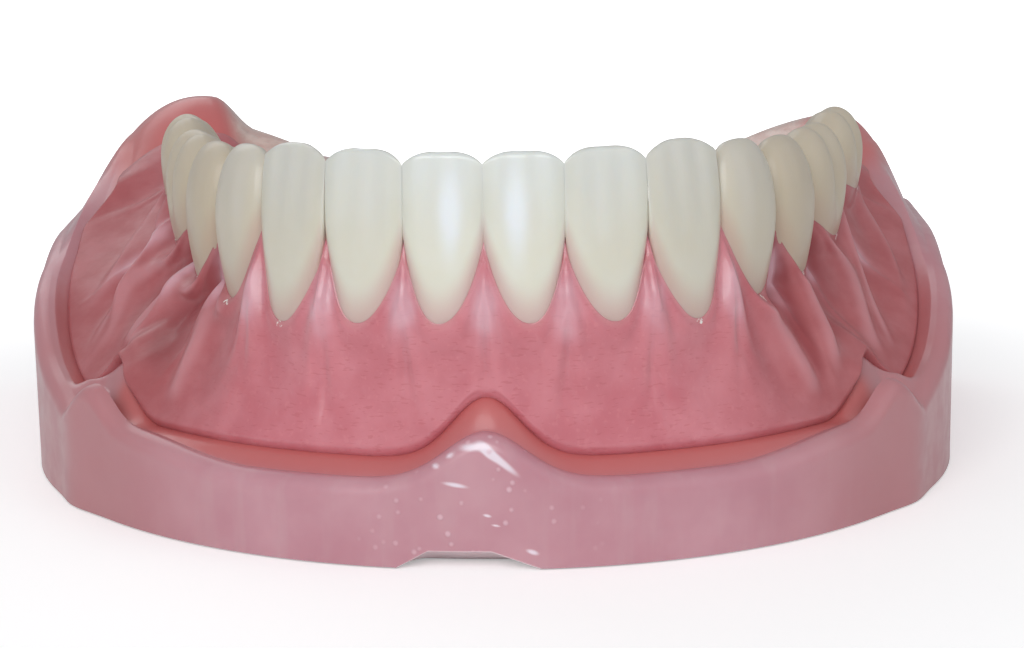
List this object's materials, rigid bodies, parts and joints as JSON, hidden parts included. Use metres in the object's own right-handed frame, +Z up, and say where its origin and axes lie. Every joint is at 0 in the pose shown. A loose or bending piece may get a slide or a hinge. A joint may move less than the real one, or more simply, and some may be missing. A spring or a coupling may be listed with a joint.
{
  "type": "lower complete denture on its cast",
  "caption": "Full set of lower artificial teeth in a pink gum-coloured base, seated on a cast of the toothless jaw; replaces all lower teeth.",
  "frame": {"origin": "middle of the whole part's outline in plan, at the flat underside of the cast", "axes": "+X towards the patient's left, -Y towards the lips, +Z up from the underside of the cast to the biting edges"},
  "size_m": [0.0772, 0.061, 0.0272],
  "materials": {
    "gum": "polished",
    "tooth": "polished",
    "cast": "glossy"
  },
  "bodies": {
    "root": {"cast": "cast", "denture_base": "gum", "left_central_incisor": "tooth", "left_lateral_incisor": "tooth", "left_canine": "tooth", "left_first_premolar": "tooth", "left_second_premolar": "tooth", "left_first_molar": "tooth", "left_second_molar": "tooth", "right_central_incisor": "tooth", "right_lateral_incisor": "tooth", "right_canine": "tooth", "right_first_premolar": "tooth", "right_second_premolar": "tooth", "right_first_molar": "tooth", "right_second_molar": "tooth"}
  },
  "joints": []
}
